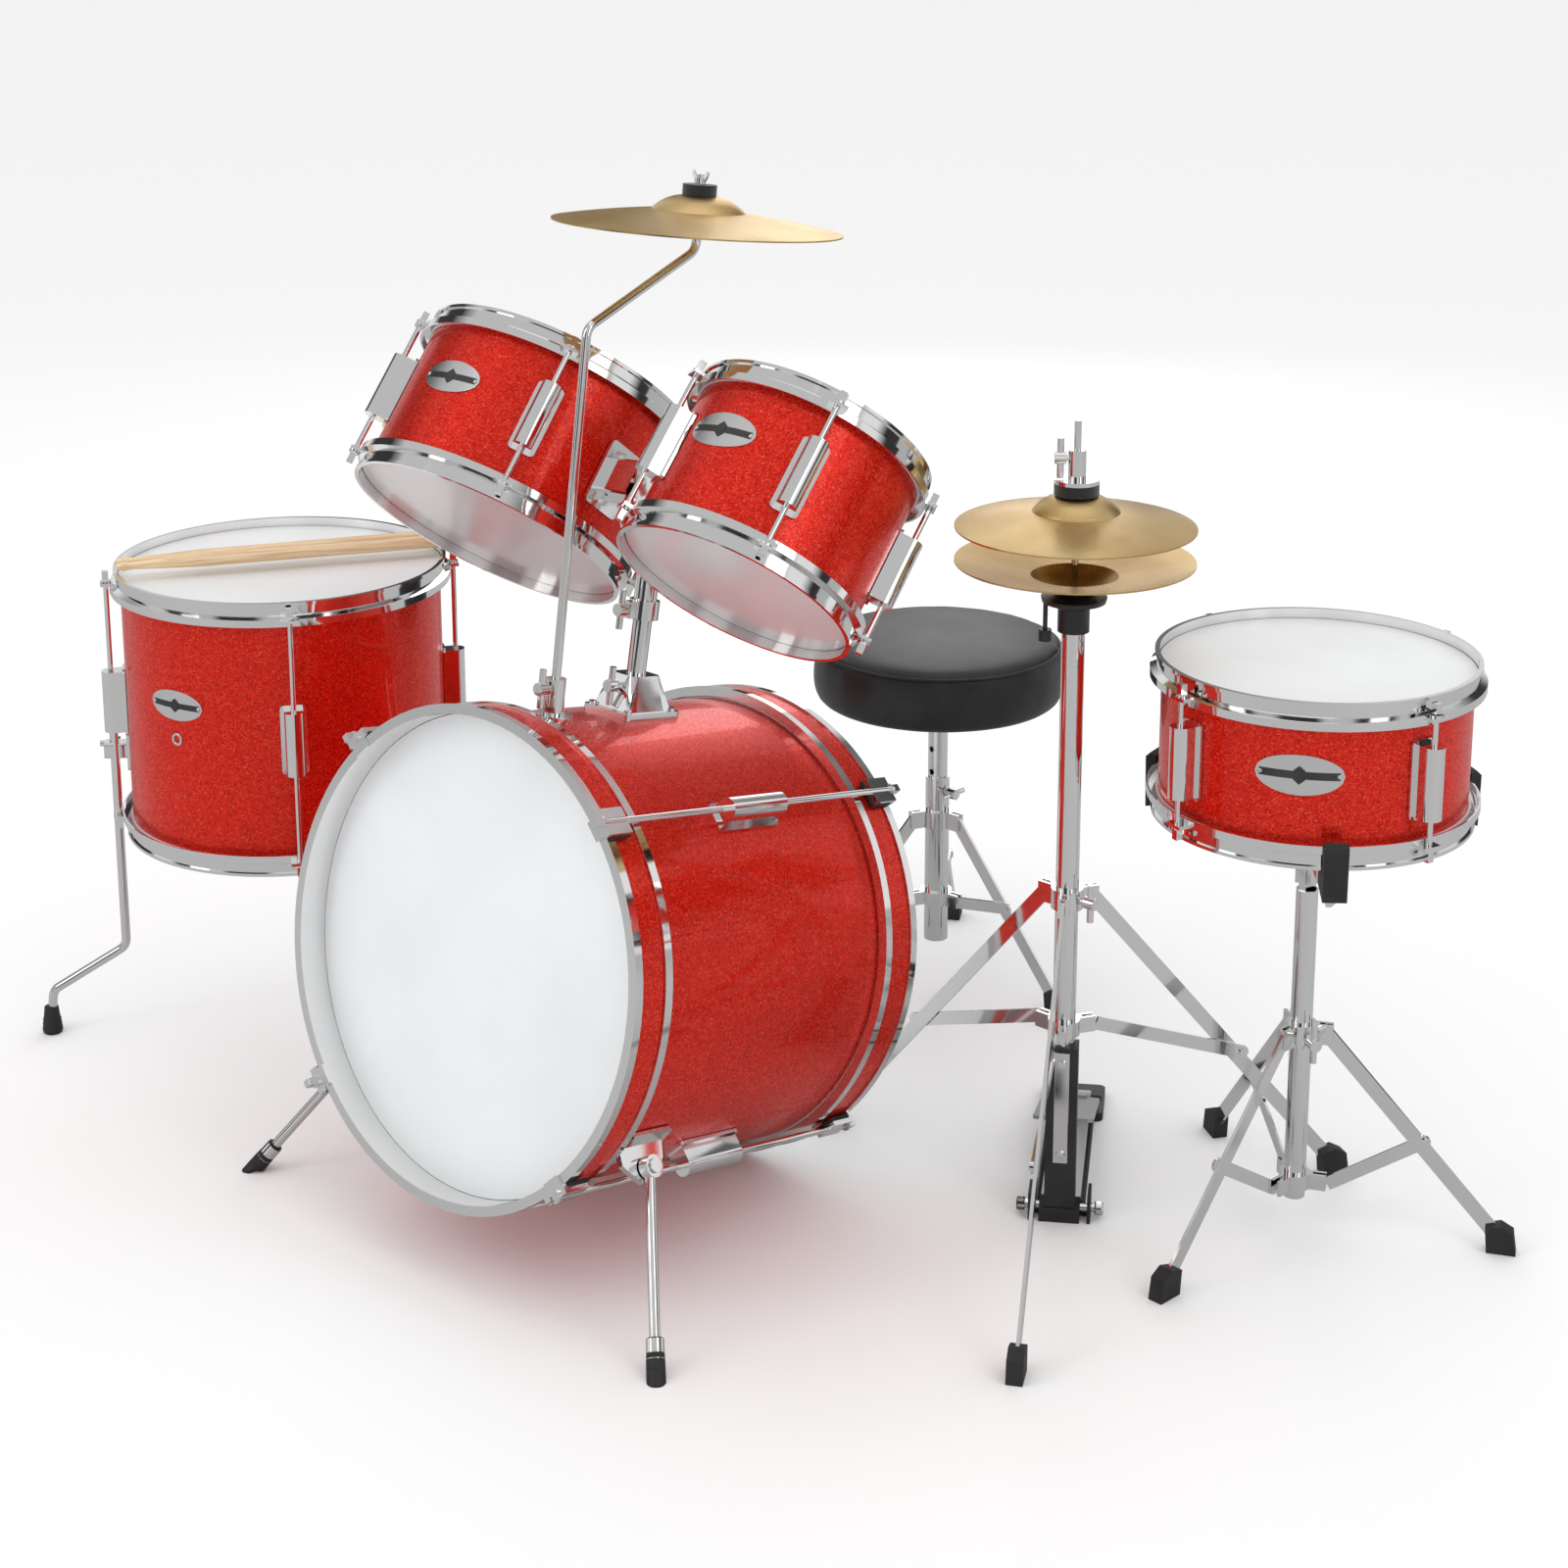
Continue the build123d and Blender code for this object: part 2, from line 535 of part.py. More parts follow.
with BuildPart() as snare_basket:
    for x in (-5.8, 5.8):
        block(upright(snare_x + x, snare_y, basket_pivot_z - 8), 4, 16, 26)
    ring(upright(snare_x, snare_y, arm_z - 8), 17, 0, 6)
    ring(Plane(origin=(snare_x - 8, snare_y, basket_pivot_z), z_dir=(1, 0, 0)), 3, 0, 16)
    for angle in basket_angles:
        blade = radial_plane(snare_foot, angle)
        with BuildSketch(blade) as strap:
            with BuildLine():
                Polyline((8, arm_z), (claw_r - 22, arm_z), (claw_r + 3, arm_z + 14), (claw_r + 3, snare_rest + 12))
            trace(line_width=8)
        extrude(strap.sketch, amount=2, both=True)
with BuildPart() as basket_claws:
    for angle in basket_angles:
        blade = radial_plane(snare_foot, angle)
        with BuildSketch(blade) as grip_shape:
            with BuildLine():
                Polyline((claw_r - 20, snare_rest - 16), (claw_r + 9, snare_rest - 22), (claw_r + 10, snare_rest + 24),
                         (claw_r + 6, snare_rest + 28), (claw_r + 0.6, snare_rest + 26), (claw_r + 0.6, snare_rest - 0.6),
                         (claw_r - 20, snare_rest - 0.6), close=True)
            make_face()
        extrude(grip_shape.sketch, amount=10, both=True)
    add(snare_basket.part, mode=Mode.SUBTRACT)
save("snare_basket", snare_basket)
save("basket_grips", basket_claws)


# ---------------------------------------------------------------- tripods
def collar_ears(plane, tube_r, angles, height, ear_reach):
    """A clamp collar on a tube, with a pair of ears for each leg or brace."""
    ring(plane, tube_r + 4, 0, height)
    for angle in angles:
        turn = radians(angle)
        out = Vector(cos(turn), sin(turn), 0)
        ear = Plane(origin=plane.origin + out * (tube_r + ear_reach / 2), x_dir=out)
        block(ear, ear_reach, 9.4, height)
        block(Plane(origin=ear.origin + out * 6.5, x_dir=out), ear_reach, 3.4, height, mode=Mode.SUBTRACT)
    ring(plane, tube_r, 0, height, mode=Mode.SUBTRACT)


def tripod(centre, tube_r, angles, foot_r, upper_z, lower_z, meet, rise):
    """Collars, three strap legs and three braces; each brace meets its leg part of the way down."""
    hip = tube_r + 13
    with BuildPart() as collars:
        collar_ears(Plane(origin=centre + Vector(0, 0, upper_z - 9)), tube_r, angles, 18, 18)
        collar_ears(Plane(origin=centre + Vector(0, 0, lower_z - 7)), tube_r, angles, 14, 18)
    knee = (hip + (foot_r - hip) * meet, upper_z + (rise - upper_z) * meet)
    with BuildPart() as legs:
        for angle in angles:
            with BuildSketch(radial_plane(centre, angle)) as strap:
                with BuildLine():
                    Polyline((hip, upper_z), (foot_r - 12, rise), (foot_r, 6))
                trace(line_width=13)
                with Locations((hip, upper_z)):
                    Circle(6.5)
            extrude(strap.sketch, amount=1.5, both=True)
    with BuildPart() as braces:
        for angle in angles:
            with BuildSketch(radial_plane(centre, angle).offset(1.6)) as strap:
                with BuildLine():
                    Polyline((tube_r + 19, lower_z), knee)
                trace(line_width=12)
                with Locations(knee):
                    Circle(6)
            extrude(strap.sketch, amount=2.5)
            outer_face = radial_plane(centre, angle).offset(4.1)
            ring(Plane(origin=outer_face.from_local_coords(Vector(*knee, 0)), z_dir=outer_face.z_dir), 3.4, 0, 1.6)
    with BuildPart() as feet:
        for angle in angles:
            with BuildSketch(radial_plane(centre, angle)) as boot:
                with BuildLine():
                    Polyline((foot_r - 13, 0), (foot_r + 12, 0), (foot_r + 9, 20), (foot_r - 2, 26),
                             (foot_r - 15, 22), close=True)
                make_face()
            extrude(boot.sketch, amount=7, both=True)
        add(legs.part, mode=Mode.SUBTRACT)
    return collars, legs, braces, feet


snare_collars, snare_legs, snare_braces, snare_feet = tripod(
    snare_foot, post_r + tube_fit, (-93.5, 26.5, 146.5), 180, 184, 44, 0.55, 22)
with BuildPart() as snare_clamp:
    turn = radians(-31)
    tee_bolt(Plane(origin=snare_foot + Vector(cos(turn), sin(turn), 0) * (post_r + 4) + Vector(0, 0, 182),
                   z_dir=(cos(turn), sin(turn), 0)), 6)
save("snare_stand", snare_collars, snare_legs, snare_braces, snare_clamp)

# ---------------------------------------------------------------- hi-hat
hihat = Vector(hihat_x, hihat_y, 0)
tube_r, tube_top, tube_bottom = 10, 556, 166
hihat_collars, hihat_legs, hihat_braces, hihat_feet = tripod(
    hihat, tube_r, (-60, 60, 180), 271, 302, 182, 0.6, 22)
with BuildPart() as hihat_tube:
    ring(upright(hihat_x, hihat_y, tube_bottom), tube_r, 7.5, tube_top - tube_bottom)
with BuildPart() as hihat_clamp:
    turn = radians(4)
    tee_bolt(Plane(origin=hihat + Vector(cos(turn), sin(turn), 0) * (tube_r + 4) + Vector(0, 0, 302),
                   z_dir=(cos(turn), sin(turn), 0)), 5)
save("hihat_stand", hihat_tube, hihat_collars, hihat_legs, hihat_braces, hihat_clamp)

seat_top = hihat_edge_z - 29
with BuildPart() as hihat_seat:
    lathe(upright(hihat_x, hihat_y, tube_top - 14),
          [(tube_r, 0), (13.5, 0), (13.5, 20), (15, 22), (27, 26), (28, 30), (12, seat_top - tube_top + 14),
           (3.1, seat_top - tube_top + 14), (3.1, 14), (tube_r, 14)])
    turn = radians(225)
    knob = Vector(hihat_x + 24 * cos(turn), hihat_y + 24 * sin(turn), 0)
    ring(upright(knob.X, knob.Y, tube_top - 14), 2, 0, 28)
    ring(upright(knob.X, knob.Y, tube_top - 22), 5.5, 0, 10)
save("hihat_seat", hihat_seat)

hat_bow, hat_bell, hat_bell_r = 13, 14, 37
with BuildPart() as hihat_bottom_cymbal:
    cymbal(Plane(origin=(hihat_x, hihat_y, hihat_edge_z), x_dir=(1, 0, 0), z_dir=(0, 0, -1)),
           hihat_r, 6, hat_bell_r, hat_bow, hat_bell)
save("hihat_bottom_cymbal", hihat_bottom_cymbal)

top_edge_z = hihat_edge_z + hihat_gap
bell_top = top_edge_z + hat_bow + hat_bell
with BuildPart() as hihat_top_cymbal:
    cymbal(upright(hihat_x, hihat_y, top_edge_z), hihat_r, 6, hat_bell_r, hat_bow, hat_bell)
save("hihat_top_cymbal", hihat_top_cymbal)

with BuildPart() as hihat_felts:
    ring(upright(hihat_x, hihat_y, bell_top + 2), 19, 5.1, 9.6)
    ring(upright(hihat_x, hihat_y, bell_top - 10), 11, 5.1, 8.4)
save("hihat_felts", hihat_felts)

rod_top, link_z = 724, 92
with BuildPart() as hihat_rod:
    ring(upright(hihat_x, hihat_y, link_z + 22), 3, 0, rod_top - link_z - 22)
    ring(upright(hihat_x, hihat_y, link_z + 8), 4.5, 0, 16)
    block(upright(hihat_x, hihat_y, link_z), 8, 3, 10)
with BuildPart() as clutch:
    ring(upright(hihat_x, hihat_y, bell_top - 10), 5, 3, 26)
    ring(upright(hihat_x, hihat_y, bell_top + 11.7), 19, 3, 3.5)
    ring(upright(hihat_x, hihat_y, bell_top + 15), 7.5, 3, 25)
    turn = radians(-140)
    tee_bolt(Plane(origin=hihat + Vector(cos(turn), sin(turn), 0) * 7 + Vector(0, 0, bell_top + 33),
                   z_dir=(cos(turn), sin(turn), 0)), 2)
    ring(upright(hihat_x, hihat_y, bell_top - 12), 3, 0, 60, mode=Mode.SUBTRACT)
save("hihat_rod", hihat_rod, clutch)

# Pedal: everything lies along the line from the tube to the heel.
turn = radians(pedal_angle)
pedal_line = Vector(cos(turn), sin(turn), 0)
pedal_across = Vector(0, 0, 1).cross(pedal_line)
heel_run = pedal_reach + 15
heel_z = 20


def pedal_plane(run, z, across=0.0):
    """A level plane on the pedal's line: x along it from the tube to the heel."""
    return Plane(origin=hihat + pedal_line * run + pedal_across * across + Vector(0, 0, z), x_dir=pedal_line)


def pedal_pin(run, z, radius, half, bore=0.0, mode=Mode.ADD):
    """A cylinder across the pedal's line."""
    ring(Plane(origin=pedal_plane(run, z, -half).origin, z_dir=pedal_across), radius, bore, 2 * half, mode=mode)


with BuildPart() as hihat_frame:
    block(pedal_plane(-12, 14), 2, 27, tube_bottom - 14)
    for across in (-12.5, 12.5):
        block(pedal_plane(-2, 14, across), 20, 2, tube_bottom - 14)
    block(pedal_plane(-2, tube_bottom - 3), 20, 26, 3)
    ring(upright(hihat_x, hihat_y, tube_bottom - 10), 3.6, 0, 20, mode=Mode.SUBTRACT)
with BuildPart() as pedal_base:
    for across in (-26, 26):
        block(pedal_plane(0, 0, across), 26, 3, 26)
    block(pedal_plane(7, 0), 12, 52, 4)
    pedal_pin(0, 9, 3.5, 37)
    for across in (-1, 1):
        ring(Plane(origin=pedal_plane(0, 9, across * 31).origin, z_dir=pedal_across * across), 5.5, 0, 7)
        bar(pedal_plane(3, 9, across * 20).origin, pedal_plane(heel_run - 6, 9, across * 20).origin, 2.5)
    block(pedal_plane(heel_run + 22, 0), 62, 60, 8, radius=6)
    for across in (-22, 22):
        block(pedal_plane(heel_run, 8, across), 12, 6, heel_z - 8)
    pedal_pin(heel_run, heel_z, 3, 28)
    block(pedal_plane(-2, 0), 24, 36, 13.8)
save("hihat_frame", hihat_frame, pedal_base)

toe = hihat + pedal_line * 12 + Vector(0, 0, link_z - 7)
heel = hihat + pedal_line * heel_run + Vector(0, 0, heel_z)
board = Plane(origin=(toe + heel) / 2, x_dir=(heel - toe), z_dir=(heel - toe).cross(pedal_across * -1))
with BuildPart() as footboard:
    block(board.offset(-1.5), (heel - toe).length - 26, 54, 3, radius=5)
    for across in (-15, -5, 5, 15):
        block(Plane(origin=board.offset(1.5).from_local_coords(Vector(0, across, 0)), x_dir=board.x_dir,
                    z_dir=board.z_dir), 120, 3, 1.2)
    block(Plane(origin=board.from_local_coords(Vector((heel - toe).length / 2 - 12, 0, -4)),
                x_dir=board.x_dir, z_dir=board.z_dir), 24, 30, 5.5)
    pedal_pin(heel_run, heel_z, 6.5, 18)
    pedal_pin(heel_run, heel_z, 3.05, 40, mode=Mode.SUBTRACT)
save("footboard", footboard)

# ---------------------------------------------------------------- throne
throne = Vector(throne_x, throne_y, 0)
outer_r, inner_r = 12.5, 10.2
throne_collars, throne_legs, throne_braces, throne_feet = tripod(
    throne, outer_r, (122, 2, 242), 161, 178, 90, 0.5, 22)
with BuildPart() as throne_tube:
    ring(upright(throne_x, throne_y, 42), outer_r, inner_r + tube_fit, 182)
    tee_bolt(Plane(origin=throne + Vector(outer_r - 1, 0, 208), z_dir=(1, 0, 0)), 4)
    ring(upright(throne_x, throne_y, 42), inner_r + tube_fit, 0, 182, mode=Mode.SUBTRACT)
save("throne_stand", throne_tube, throne_collars, throne_legs, throne_braces)

with BuildPart() as throne_post:
    ring(upright(throne_x, throne_y, 60), inner_r, inner_r - 2, seat_z - 60 - 2.4)
    for z in (180, 205, 230, 255, 280):
        ring(Plane(origin=(throne_x, throne_y - 20, z), z_dir=(0, 1, 0)), 3.2, 0, 40, mode=Mode.SUBTRACT)
save("throne_post", throne_post)

with BuildPart() as throne_seat_plate:
    ring(upright(throne_x, throne_y, seat_z - 34), inner_r + 4, inner_r + tube_fit, 32)
    ring(upright(throne_x, throne_y, seat_z - 2), 60, 0, 2)
save("throne_seat_plate", throne_seat_plate)

with BuildPart() as throne_seat:
    lathe(upright(throne_x, throne_y, seat_z), [(0, 0), (seat_r - 6, 0), (seat_r, 8), (seat_r, 48),
                                                (seat_r - 10, 60), (seat_r - 50, 68), (0, 71)])
save("throne_seat", throne_seat)

save("stand_feet", snare_feet, hihat_feet, throne_feet)

# ---------------------------------------------------------------- drumsticks
stick_length, stick_r, tip_r = 316, 6.5, 2.8
stick_z = floor_tom_rim.Z + floor_tom_depth + stick_r
with BuildPart() as drumsticks:
    for offset, turn in ((-8.5, 240.9), (8.5, 240.1)):
        run = Vector(cos(radians(turn)), sin(radians(turn)), 0)
        middle = Vector(floor_tom_rim.X, floor_tom_rim.Y, stick_z) + Vector(-run.Y, run.X, 0) * offset
        along = Plane(origin=middle - run * (stick_length / 2), z_dir=run)
        lathe(along, [(0, 0), (stick_r - 1.5, 0), (stick_r, 3), (stick_r, 240), (tip_r + 1, 302),
                      (tip_r + 2, 309), (tip_r, stick_length), (0, stick_length)])
save("drumsticks", drumsticks)
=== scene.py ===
import json
from math import cos, pi, radians, sin

import bmesh
import bpy
from bpy.props import FloatProperty, FloatVectorProperty, PointerProperty
from mathutils import Matrix, Vector, noise


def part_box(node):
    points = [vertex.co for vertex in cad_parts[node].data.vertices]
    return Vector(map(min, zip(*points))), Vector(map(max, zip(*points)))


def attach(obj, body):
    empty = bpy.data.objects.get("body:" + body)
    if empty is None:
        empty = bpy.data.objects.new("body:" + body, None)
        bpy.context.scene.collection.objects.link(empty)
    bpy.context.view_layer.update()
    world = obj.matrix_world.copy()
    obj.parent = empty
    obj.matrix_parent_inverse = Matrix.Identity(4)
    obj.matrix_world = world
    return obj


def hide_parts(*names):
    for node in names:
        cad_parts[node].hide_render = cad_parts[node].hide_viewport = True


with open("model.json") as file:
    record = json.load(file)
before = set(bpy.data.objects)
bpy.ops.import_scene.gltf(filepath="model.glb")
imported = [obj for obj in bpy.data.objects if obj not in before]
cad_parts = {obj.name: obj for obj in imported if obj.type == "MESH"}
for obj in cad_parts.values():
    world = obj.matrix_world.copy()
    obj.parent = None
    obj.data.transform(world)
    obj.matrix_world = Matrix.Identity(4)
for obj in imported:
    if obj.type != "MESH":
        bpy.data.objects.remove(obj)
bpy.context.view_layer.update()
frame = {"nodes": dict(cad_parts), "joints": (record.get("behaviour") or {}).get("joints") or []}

bl_info = {
    "name": "Drum kit finishes",
    "version": (1, 0, 0),
    "blender": (4, 5, 0),
    "location": "View3D > Sidebar > Drum kit",
    "description": "Dresses an acoustic drum kit with wraps, plating, badges, a cushion and a studio",
    "category": "Object",
}

# Where each drum stands: bottom rim centre, axis, shell radius, depth.
DRUMS = {
    "tom_left": (Vector((-0.191, -0.2109, 0.570)), Vector((-0.05, 0.835, 1)), 0.1265, 0.165),
    "tom_right": (Vector((0.141, -0.2329, 0.583)), Vector((-0.06, 0.94, 1)), 0.1016, 0.163),
    "floor_tom": (Vector((-0.483, -0.2229, 0.226)), Vector((0, 0, 1)), 0.155, 0.270),
    "snare": (Vector((0.492, 0.1111, 0.386)), Vector((0, 0, 1)), 0.130, 0.141),
}
CRASH_CENTRE = Vector((-0.005, -0.1219, 0.862))
CRASH_TILT = (-radians(6.0), 0, 0)
HIHAT = Vector((0.331, -0.0159, 0))
THRONE = Vector((-0.086, 0.3131, 0))
PEDAL_LINE = Vector((cos(radians(124)), sin(radians(124)), 0))
UP = Vector((0, 0, 1))

# The bass drum: front rim, nose-up tilt, shell depth, and where its hoops, claws and spurs are.
BASS_RIM = Vector((-0.005, -0.4199, 0.2763))
BASS_TILT = radians(10.8)
BASS_DEPTH = 0.352
CLAW_ANGLES = (45, 135, 225, 315)
CLAW_PAD_RADIUS, CLAW_PAD_INSET = 0.2156, 0.0125
SPUR_TOE_X, SPUR_TOE_Y = 0.262, -0.4469

# The floor tom's legs, badge and vent, and the way the drumsticks lie.
LEG_ANGLES = (-134, -14, 106)
LEG_FOOT_RADIUS = 0.251
FLOOR_TOM_BADGE_ANGLE, VENT_HEIGHT = -79, 0.128
STICK_ANGLE = radians(60.5)

# Each badge: drum, angle round the shell, height, body it rides on, scale.
BADGES = (
    ("tom_left", -88, 0.094, "tom_left", 1.0),
    ("tom_right", -90, 0.098, "tom_right", 1.03),
    ("floor_tom", FLOOR_TOM_BADGE_ANGLE, 0.162, "kit", 0.95),
    ("snare", -63, 0.078, "snare", 1.1),
)

# Half outlines as (radius, height) for what is spun.
LEG_TIP = ((0, 0), (0.0090, 0), (0.0101, 0.0028), (0.0100, 0.0060), (0.0094, 0.0066), (0.0097, 0.0100),
           (0.0090, 0.0106), (0.0091, 0.0150), (0.0083, 0.0160), (0.0070, 0.0276), (0.0060, 0.0284),
           (0, 0.0284))
SPUR_TIP = ((0, -0.0079), (0.0070, -0.0079), (0.0079, -0.005), (0.0079, 0.006), (0.0076, 0.0066),
            (0.0079, 0.0072), (0.0078, 0.016), (0.0074, 0.0166), (0.0077, 0.0172), (0.0070, 0.0325),
            (0.0060, 0.0332), (0, 0.0332))
VENT_RING = ((0.0035, 0.0), (0.0066, 0.0), (0.0062, 0.0012), (0.0042, 0.0014))
AXLE_RADIUS, AXLE_HALF = 0.0037, 0.0382
AXLE_NUT = ((0, 0), (0.0058, 0), (0.0062, 0.0015), (0.0062, 0.0062), (0.0052, 0.0075), (0, 0.0075))
STRAP_BOLT = ((0, 0), (0.0042, 0), (0.0036, 0.0022), (0, 0.0030))

# The camera, the even light of the room, and the softboxes and dark gaps that the plate mirrors.
CAMERA_PLACE = (1.7101, -1.8687, 1.2438)
CAMERA_PITCH, CAMERA_AZIMUTH = 13.755, 42.377
CAMERA_LENS, CAMERA_SHIFT_X, CAMERA_SHIFT_Y = 65.30, -0.0106, -0.2
FLOOR_RADIUS = 60
PAPER, PAPER_MIRRORED = 0.96, 0.46
WORLD_LEVEL, CEILING_LEVEL = 0.96, 0.55
STUDIO_STRIPS = (
    (0.0, 0.04), (0.06, 0.03), (0.08, 0.82), (0.13, 0.82), (0.15, 0.06), (0.20, 0.04), (0.22, 0.7),
    (0.25, 0.7), (0.27, 0.04), (0.34, 0.03), (0.36, 0.78), (0.41, 0.78), (0.43, 0.04), (0.50, 0.06),
    (0.52, 0.8), (0.55, 0.8), (0.57, 0.03), (0.61, 0.04), (0.63, 0.82), (0.69, 0.82), (0.71, 0.05),
    (0.78, 0.04), (0.80, 0.75), (0.83, 0.75), (0.85, 0.03), (0.89, 0.04), (0.91, 0.82), (0.96, 0.78),
    (0.98, 0.04))
# Each lamp: name, place, aim, width and height, watts.
LAMPS = (
    ("key", (-1.2, -3.0, 2.4), (0, 0, 0.4), (0.9, 2.2), 13),
    ("fill", (3.0, -0.4, 1.8), (0, 0, 0.4), (0.7, 2.2), 9),
    ("top", (0.2, 0.0, 3.4), (0, 0, 0), (2.4, 2.4), 7),
    ("rim", (-1.8, 2.4, 1.8), (0, 0, 0.4), (0.8, 2.2), 9),
)


# ---------------------------------------------------------------- sizes and colours a user may change
class KitFinish(bpy.types.PropertyGroup):
    wrap: FloatVectorProperty(
        name="Wrap", description="Colour of the sparkle wrap", subtype="COLOR", size=4,
        min=0, max=1, default=(0.82, 0.017, 0.006, 1))
    brass: FloatVectorProperty(
        name="Cymbals", description="Colour of the lathed brass", subtype="COLOR", size=4,
        min=0, max=1, default=(0.80, 0.58, 0.28, 1))
    vinyl: FloatVectorProperty(
        name="Seat", description="Colour of the seat's vinyl", subtype="COLOR", size=4,
        min=0, max=1, default=(0.006, 0.006, 0.007, 1))
    flake: FloatProperty(
        name="Flake", description="Size of one flake in the wrap", unit="LENGTH",
        min=0.0005, max=0.005, default=0.0011)


class KitSizes(bpy.types.PropertyGroup):
    badge_width: FloatProperty(
        name="Badge width", description="Length of a badge round the shell", unit="LENGTH",
        min=0.03, max=0.12, default=0.066)
    badge_height: FloatProperty(
        name="Badge height", description="Height of a badge along the shell", unit="LENGTH",
        min=0.015, max=0.06, default=0.031)
    seat_crown: FloatProperty(
        name="Seat crown", description="How far the cushion's top rises over its edge", unit="LENGTH",
        min=0, max=0.02, default=0.010)


# ---------------------------------------------------------------- materials
def start(name, colour, metallic, roughness, **more):
    """A principled material, with its single values set on the shader itself."""
    material = bpy.data.materials.new(name)
    material.use_nodes = True
    shader = material.node_tree.nodes["Principled BSDF"]
    shader.inputs["Base Color"].default_value = colour
    shader.inputs["Metallic"].default_value = metallic
    shader.inputs["Roughness"].default_value = roughness
    for key, value in more.items():
        shader.inputs[key.replace("_", " ").title().replace("Ior", "IOR")].default_value = value
    return material, material.node_tree, shader


def node(tree, kind, links=(), **settings):
    """One shader node, its settings, and what feeds each of its inputs."""
    made = tree.nodes.new(kind)
    for key, value in settings.items():
        if key in made.inputs and not hasattr(made, key):
            made.inputs[key].default_value = value
        else:
            setattr(made, key, value)
    for key, source in dict(links).items():
        tree.links.new(source, made.inputs[key])
    return made


def placed(tree, centre=(0, 0, 0), turn=(0, 0, 0), scale=(1, 1, 1)):
    """Object coordinates, centred, turned and scaled for a pattern."""
    where = node(tree, "ShaderNodeTexCoord").outputs["Object"]
    mapping = node(tree, "ShaderNodeMapping", {"Vector": where}, vector_type="TEXTURE")
    mapping.inputs["Location"].default_value = centre
    mapping.inputs["Rotation"].default_value = turn
    mapping.inputs["Scale"].default_value = scale
    return mapping.outputs["Vector"]


def ramp(tree, source, *stops):
    """A colour ramp of (position, colour) stops."""
    made = node(tree, "ShaderNodeValToRGB", {"Fac": source})
    elements = made.color_ramp.elements
    for index, (position, colour) in enumerate(stops):
        element = elements[index] if index < 2 else elements.new(position)
        element.position, element.color = position, colour
    return made.outputs["Color"]


def mixed(tree, factor, first, second):
    """Two colours mixed by a factor, each colour a fixed value or a socket."""
    made = node(tree, "ShaderNodeMix", data_type="RGBA")
    factor_socket, first_socket, second_socket = made.inputs[0], made.inputs[6], made.inputs[7]
    tree.links.new(factor, factor_socket)
    for socket, colour in ((first_socket, first), (second_socket, second)):
        if isinstance(colour, tuple):
            socket.default_value = colour
        else:
            tree.links.new(colour, socket)
    return made.outputs[2]


def grey(value):
    return (value, value, value, 1)


def roughen(tree, shader, source, low, high):
    """Roughness that follows a pattern between two values."""
    spread = node(tree, "ShaderNodeMapRange", {"Value": source})
    spread.inputs["To Min"].default_value = low
    spread.inputs["To Max"].default_value = high
    tree.links.new(spread.outputs["Result"], shader.inputs["Roughness"])


def emboss(tree, shader, height, depth, strength=1.0):
    bump = node(tree, "ShaderNodeBump", {"Height": height})
    bump.inputs["Distance"].default_value = depth
    bump.inputs["Strength"].default_value = strength
    tree.links.new(bump.outputs["Normal"], shader.inputs["Normal"])


def sparkle_wrap():
    """Fine red flakes under a clear coat, each with its own slope and a tone that differs at random; the
    brightest flakes are painted glints.
    """
    finish = bpy.context.scene.kit_finish
    red = tuple(finish.wrap)
    material, tree, shader = start("sparkle wrap", red, 0.7, 0.38, coat_weight=0.3, coat_roughness=0.04,
                                   specular_ior_level=0.2)
    at = placed(tree)
    flakes = node(tree, "ShaderNodeTexVoronoi", {"Vector": at}, Scale=1 / finish.flake)
    split = node(tree, "ShaderNodeSeparateColor", {"Color": flakes.outputs["Color"]})
    dark = (red[0] * 0.6, red[1] * 0.3, red[2] * 0.3, 1)
    bright = (min(1, red[0] * 1.2), red[1] * 2 + 0.01, red[2] * 2 + 0.006, 1)
    # The colour at the top of the ramp is a painted glint: the brightest flakes get a pale orange-red as if
    # they caught a lamp.
    painted_glint = (1.0, 0.14, 0.08, 1)
    colour = ramp(tree, split.outputs["Red"], (0.0, dark), (0.45, red), (0.9, bright), (1.0, painted_glint))
    tree.links.new(colour, shader.inputs["Base Color"])
    roughen(tree, shader, split.outputs["Green"], 0.22, 0.46)
    emboss(tree, shader, split.outputs["Blue"], 0.00012, 0.5)
    return material


def chrome(name="chrome", shade=0.86, low=0.035, high=0.10):
    """Bright plate with faint polishing haze."""
    material, tree, shader = start(name, grey(shade), 1.0, low)
    at = placed(tree)
    haze = node(tree, "ShaderNodeTexNoise", {"Vector": at}, Scale=45.0, Detail=4.0)
    roughen(tree, shader, haze.outputs["Fac"], low, high)
    emboss(tree, shader, haze.outputs["Fac"], 0.0001, 0.15)
    return material


def film(name, colour, roughness, coat):
    """Drum head film: a fine coating grain and a faint cloudiness."""
    material, tree, shader = start(name, colour, 0.0, roughness, coat_weight=coat, coat_roughness=0.12)
    at = placed(tree)
    cloud = node(tree, "ShaderNodeTexNoise", {"Vector": at}, Scale=9.0, Detail=3.0)
    edge = tuple(c * 0.93 for c in colour[:3]) + (1,)
    tree.links.new(ramp(tree, cloud.outputs["Fac"], (0.3, edge), (0.7, colour)), shader.inputs["Base Color"])
    grain = node(tree, "ShaderNodeTexNoise", {"Vector": at}, Scale=1500.0, Detail=2.0)
    emboss(tree, shader, grain.outputs["Fac"], 0.00015, 0.3)
    return material


